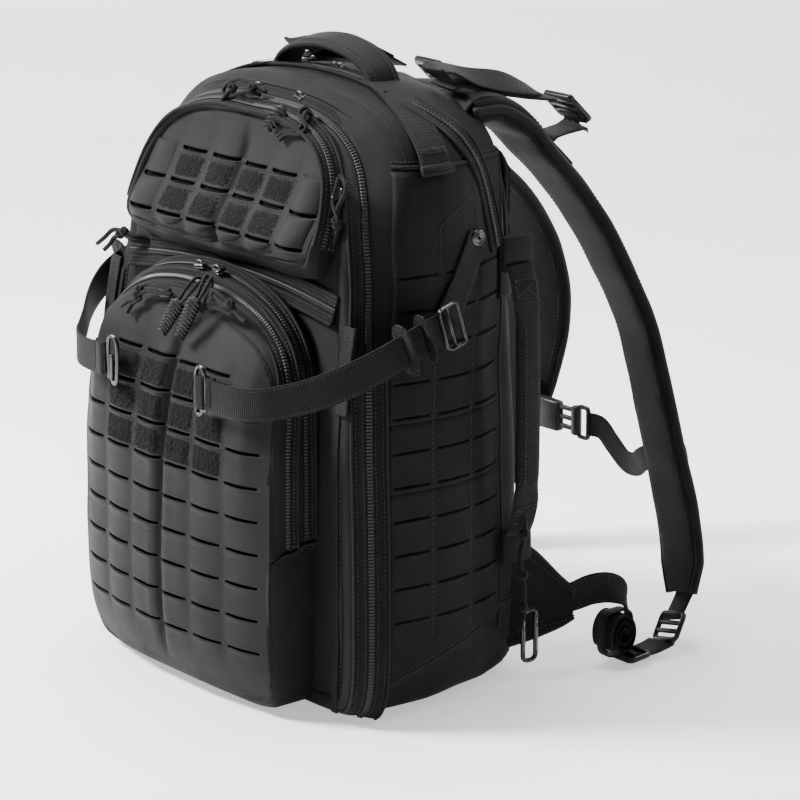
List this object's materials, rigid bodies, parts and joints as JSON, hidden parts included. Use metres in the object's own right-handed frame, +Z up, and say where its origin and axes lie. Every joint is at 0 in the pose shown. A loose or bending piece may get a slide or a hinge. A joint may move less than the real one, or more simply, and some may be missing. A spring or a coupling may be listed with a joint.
{
  "type": "backpack",
  "caption": "Padded clamshell medical backpack with ladder-webbing faces, zip pockets, compression straps, carry handles and shoulder straps.",
  "frame": {"origin": "on the ground under the middle of the bag: centre of its width, between the front pocket face and the back panel", "axes": "+Z up, -Y towards the front pockets, +Y towards the shoulder straps, +X to the bag's side that is on the right when its front is faced"},
  "size_m": [0.4094, 0.4692, 0.481],
  "materials": {
    "pack_fabric": "black coated nylon in a fine plain weave, with a soft low sheen",
    "lining": "dark grey thin nylon lining and mesh",
    "spacer_mesh": "black open spacer mesh over foam",
    "strap_fabric": "black nylon over foam with bound edges",
    "webbing": "black ribbed nylon webbing",
    "loop_tape": "black brushed loop tape",
    "zip_tape": "black woven zip tape with a nylon coil",
    "buckle_plastic": "black acetal, lightly textured",
    "sheet_plastic": "black polyethylene sheet",
    "stay_metal": "bare aluminium bar",
    "black_metal": "dark satin plated metal"
  },
  "bodies": {
    "pack_body": {"main_shell": "pack_fabric", "frame_sheet": "sheet_plastic", "aluminium_stays": "stay_metal", "rear_divider": "lining", "hydration_sleeve": "lining", "back_panel": "spacer_mesh", "back_pad_right": "spacer_mesh", "back_pad_left": "spacer_mesh", "lumbar_pad": "spacer_mesh", "side_panel_right": "pack_fabric", "side_panel_left": "pack_fabric", "kick_panel": "pack_fabric", "main_zip_tape": "zip_tape", "rear_zip_tape": "zip_tape", "handle_webbing": "webbing", "yoke_panel": "pack_fabric", "load_lifter_webbing": "webbing", "compression_frames": "black_metal", "compression_anchors": "webbing", "lower_wings": "pack_fabric", "wing_bars": "black_metal", "lower_webbing": "webbing", "webbing_tails": "webbing", "strap_webbing": "webbing"},
    "front_door": {"front_panel": "pack_fabric", "mesh_pocket_lower": "lining", "mesh_pocket_upper": "lining", "lower_pocket_bin": "pack_fabric", "upper_pocket_base": "pack_fabric"},
    "pocket_middle": {"lower_pocket_middle": "pack_fabric"},
    "pocket_face": {"lower_pocket_face": "pack_fabric", "lower_loop_strips": "loop_tape", "compression_webbing": "webbing", "compression_hooks": "black_metal"},
    "upper_flap": {"upper_pocket_face": "pack_fabric", "upper_loop_strips": "loop_tape"},
    "carry_handle": {"top_handle": "strap_fabric"},
    "grab_right": {"side_handle_right": "strap_fabric"},
    "grab_left": {"side_handle_left": "strap_fabric"},
    "strap_right": {"shoulder_strap_right": "strap_fabric", "load_lifter_buckle_right": "buckle_plastic", "strap_buckle_right": "buckle_plastic", "sternum_webbing_right": "webbing"},
    "strap_left": {"shoulder_strap_left": "strap_fabric", "load_lifter_buckle_left": "buckle_plastic", "strap_buckle_left": "buckle_plastic", "sternum_webbing_left": "webbing", "sternum_buckle_socket": "buckle_plastic"},
    "sternum_plug": {"sternum_buckle_plug": "buckle_plastic"},
    "zip_main_right": {"main_slider_right": "black_metal"},
    "zip_main_left": {"main_slider_left": "black_metal"},
    "zip_front_right": {"pocket_front_slider_right": "black_metal"},
    "zip_front_left": {"pocket_front_slider_left": "black_metal"},
    "zip_rear_right": {"pocket_rear_slider_right": "black_metal"},
    "zip_rear_left": {"pocket_rear_slider_left": "black_metal"},
    "zip_upper_right": {"upper_slider_right": "black_metal"},
    "zip_upper_left": {"upper_slider_left": "black_metal"},
    "zip_back": {"rear_slider": "black_metal"}
  },
  "joints": [
    {"name": "front_panel_open", "type": "hinge", "parent": "pack_body", "child": "front_door", "pos_m": [0, -0.052, 0.004], "axis": [1, 0, 0], "range_deg": [0, 90]},
    {"name": "pocket_middle_open", "type": "hinge", "parent": "front_door", "child": "pocket_middle", "pos_m": [0, -0.117, 0.121], "axis": [1, 0, 0], "range_deg": [0, 35]},
    {"name": "pocket_face_open", "type": "hinge", "parent": "pocket_middle", "child": "pocket_face", "pos_m": [0, -0.117, 0.121], "axis": [1, 0, 0], "range_deg": [0, 40]},
    {"name": "upper_flap_open", "type": "hinge", "parent": "front_door", "child": "upper_flap", "pos_m": [0, -0.0688, 0.339], "axis": [1, 0, 0], "range_deg": [0, 75]},
    {"name": "carry_handle_swing", "type": "hinge", "parent": "pack_body", "child": "carry_handle", "pos_m": [0, 0.052, 0.463], "axis": [1, 0, 0], "range_deg": [-15, 15]},
    {"name": "grab_handle_right_swing", "type": "hinge", "parent": "pack_body", "child": "grab_right", "pos_m": [0.176, 0.099, 0.225], "axis": [0, 0, 1], "range_deg": [-10, 30]},
    {"name": "grab_handle_left_swing", "type": "hinge", "parent": "pack_body", "child": "grab_left", "pos_m": [-0.176, 0.099, 0.225], "axis": [0, 0, 1], "range_deg": [-30, 10]},
    {"name": "strap_right_swing", "type": "hinge", "parent": "pack_body", "child": "strap_right", "pos_m": [0.086, 0.139, 0.444], "axis": [1, 0, 0], "range_deg": [0, 28]},
    {"name": "strap_left_swing", "type": "hinge", "parent": "pack_body", "child": "strap_left", "pos_m": [-0.086, 0.139, 0.444], "axis": [1, 0, 0], "range_deg": [0, 28]},
    {"name": "sternum_release", "type": "slide", "parent": "strap_right", "child": "sternum_plug", "axis": [1, 0, 0], "range_m": [0, 0.026]},
    {"name": "zip_main_right_slide", "type": "slide", "parent": "pack_body", "child": "zip_main_right", "axis": [1, 0, 0], "range_m": [0, 0.06]},
    {"name": "zip_main_left_slide", "type": "slide", "parent": "pack_body", "child": "zip_main_left", "axis": [-1, 0, 0], "range_m": [0, 0.06]},
    {"name": "zip_front_right_slide", "type": "slide", "parent": "pocket_face", "child": "zip_front_right", "axis": [1, 0, 0], "range_m": [0, 0.05]},
    {"name": "zip_front_left_slide", "type": "slide", "parent": "pocket_face", "child": "zip_front_left", "axis": [-1, 0, 0], "range_m": [0, 0.05]},
    {"name": "zip_rear_right_slide", "type": "slide", "parent": "pocket_middle", "child": "zip_rear_right", "axis": [1, 0, 0], "range_m": [0, 0.05]},
    {"name": "zip_rear_left_slide", "type": "slide", "parent": "pocket_middle", "child": "zip_rear_left", "axis": [-1, 0, 0], "range_m": [0, 0.05]},
    {"name": "zip_upper_right_slide", "type": "slide", "parent": "front_door", "child": "zip_upper_right", "axis": [0, -0.349, -0.9371], "range_m": [0, 0.035]},
    {"name": "zip_upper_left_slide", "type": "slide", "parent": "front_door", "child": "zip_upper_left", "axis": [0, -0.349, -0.9371], "range_m": [0, 0.035]},
    {"name": "zip_back_slide", "type": "slide", "parent": "pack_body", "child": "zip_back", "axis": [1, 0, 0], "range_m": [0, 0.04]}
  ],
  "couplings": [
    {"joint": "strap_left_swing", "follows": "strap_right_swing", "ratio": 1}
  ]
}
